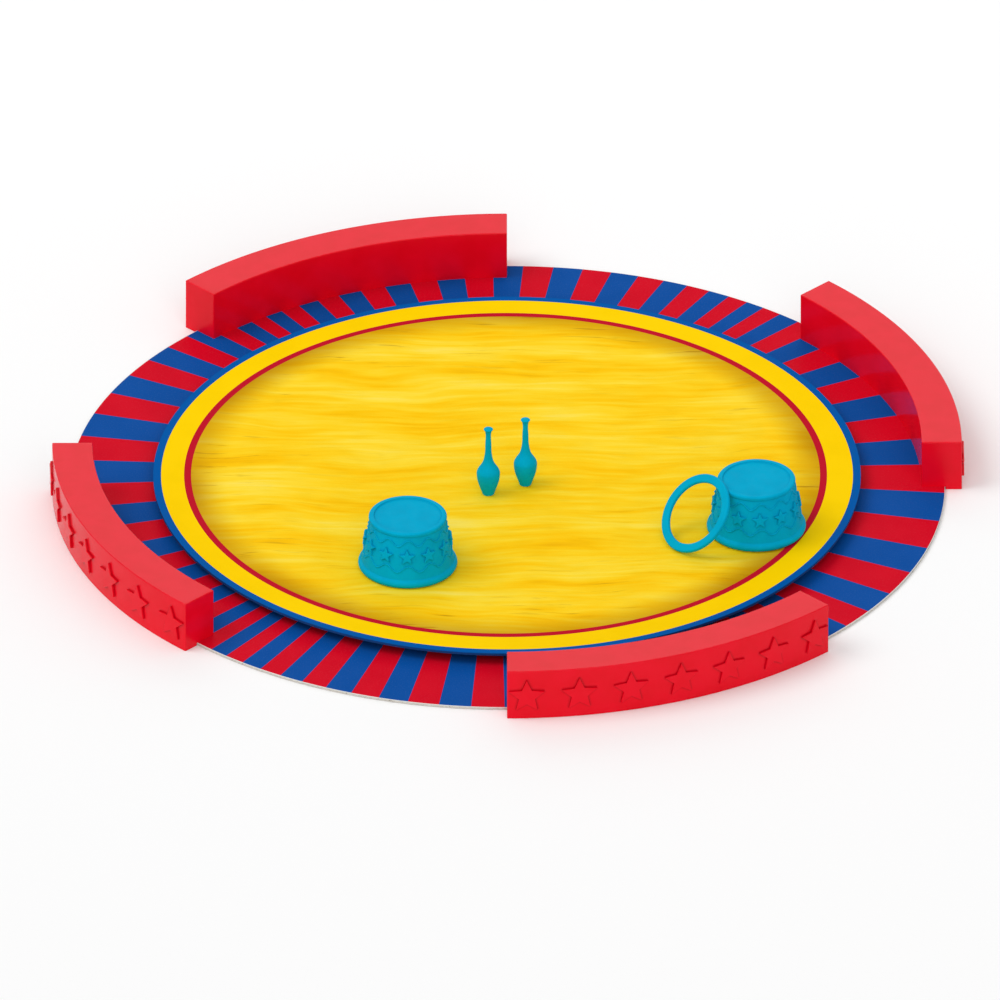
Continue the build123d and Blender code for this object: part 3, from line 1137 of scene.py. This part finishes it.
@dataclass
class Studio:
    """Plain white floor, soft daylight from the upper left, and the camera."""

    floor_half: float = 3.0  # metres
    floor_drop: float = 0.1 * MM
    floor_colour: Colour = (0.93, 0.93, 0.93, 1.0)
    floor_seen: Colour = (0.98, 0.98, 0.98, 1.0)  # as the camera sees it
    sky_strength: float = 0.78
    sun_distance: float = 2.0
    key_strength: float = 0.85
    key_softness: float = 34.0  # degrees across
    key_from: tuple[float, float, float] = (-0.6, -0.05, 0.8)
    fill_strength: float = 0.8
    fill_softness: float = 50.0
    fill_from: tuple[float, float, float] = (0.05, -0.88, 0.47)
    panel_power: float = 3.2
    panel_size: tuple[float, float] = (1.8, 0.9)
    panel_distance: float = 1.6
    elevation: float = 30.27  # degrees
    view_width: float = 0.3425
    view_middle: tuple[float, float, float] = (-0.0024, -0.0074, 0.0)
    camera_distance: float = 2.0

    def floor(self) -> None:
        """Lays the floor just under the ring."""
        mesh = bmesh.new()
        bmesh.ops.create_grid(mesh, x_segments=1, y_segments=1, size=self.floor_half)
        bmesh.ops.translate(mesh, vec=(0, 0, -self.floor_drop), verts=mesh.verts[:])
        data = bpy.data.meshes.new("floor")
        mesh.to_mesh(data)
        mesh.free()
        made = bpy.data.objects.new("floor", data)
        bpy.context.scene.collection.objects.link(made)
        graph = Graph(bpy.data.materials.new("white_floor"))
        seen = graph.node("ShaderNodeLightPath", output="Is Camera Ray")
        white = graph.blend(seen, self.floor_colour, self.floor_seen)
        graph.end(graph.node("ShaderNodeBsdfDiffuse", inputs={"Color": white}))
        data.materials.append(graph.owner)

    def sky(self) -> None:
        """Even white surroundings that are full white to the eye and in gloss."""
        graph = Graph(bpy.data.worlds.new("surroundings"))
        seen, glossy, through = (
            graph.node("ShaderNodeLightPath", output=f"Is {kind} Ray")
            for kind in ("Camera", "Glossy", "Transmission")
        )
        for other in (glossy, through):
            seen = seen.maths("MAXIMUM", seen, other)
        strength = seen.ramp(0, 1, self.sky_strength, 1.0)
        graph.end(graph.node("ShaderNodeBackground", inputs={"Strength": strength}))
        bpy.context.scene.world = graph.owner

    def lamp(
        self, name: str, kind: str, direction: Vector, distance: float, **settings: Any
    ) -> None:
        """Hangs a lamp that shines at the ring's middle.

        Args:
            name: the lamp's name.
            kind: the lamp's type.
            direction: from the ring towards the lamp.
            distance: metres from the ring.
            settings: the lamp's own settings.
        """
        lamp = bpy.data.lights.new(name, kind)
        for key, value in settings.items():
            setattr(lamp, key, value)
        made = bpy.data.objects.new(name, lamp)
        made.location = direction.normalized() * distance
        made.rotation_euler = (-direction).to_track_quat("-Z", "Y").to_euler()
        bpy.context.scene.collection.objects.link(made)

    def lights(self) -> None:
        """Hangs the key, the fill in front, and the panel behind that lights the upper faces."""
        for name, direction, strength, softness in (
            ("soft_key", self.key_from, self.key_strength, self.key_softness),
            ("front_fill", self.fill_from, self.fill_strength, self.fill_softness),
        ):
            settings = {"energy": strength, "angle": math.radians(softness)}
            self.lamp(name, "SUN", Vector(direction), self.sun_distance, **settings)
        tilt = math.radians(self.elevation)
        behind = Vector((0, math.cos(tilt), math.sin(tilt)))
        width, height = self.panel_size
        settings = {"energy": self.panel_power, "shape": "RECTANGLE"}
        settings |= {"size": width, "size_y": height}
        self.lamp("back_panel", "AREA", behind, self.panel_distance, **settings)

    def camera(self) -> None:
        """Sets the flat-perspective camera, looking down from the front."""
        tilt = math.radians(self.elevation)
        back = Vector((0, -math.cos(tilt), math.sin(tilt)))
        lens = bpy.data.cameras.new("front_camera")
        lens.type = "ORTHO"
        lens.ortho_scale = self.view_width
        made = bpy.data.objects.new("front_camera", lens)
        made.location = Vector(self.view_middle) + back * self.camera_distance
        made.rotation_euler = (-back).to_track_quat("-Z", "Y").to_euler()
        bpy.context.scene.collection.objects.link(made)
        bpy.context.scene.camera = made

    def build(self) -> None:
        """Sets the scene round the ring."""
        self.floor()
        self.sky()
        self.lights()
        self.camera()
        bpy.context.scene.view_settings.view_transform = "Standard"


def main() -> None:
    """Builds the looks."""
    logging.basicConfig(level=logging.INFO, format="%(name)s: %(message)s")
    Studio().build()
    paints = PaintBox()
    parts: list[Any] = [Base(), Turntable(), *(Kerb(side) for side in Side)]
    parts += [Pedestal("left", first_star=-91.0), Pedestal("right", first_star=-85.0), Props()]
    for part in parts:
        part.build(paints)
    bpy.context.view_layer.update()


if __name__ == "__main__":
    main()
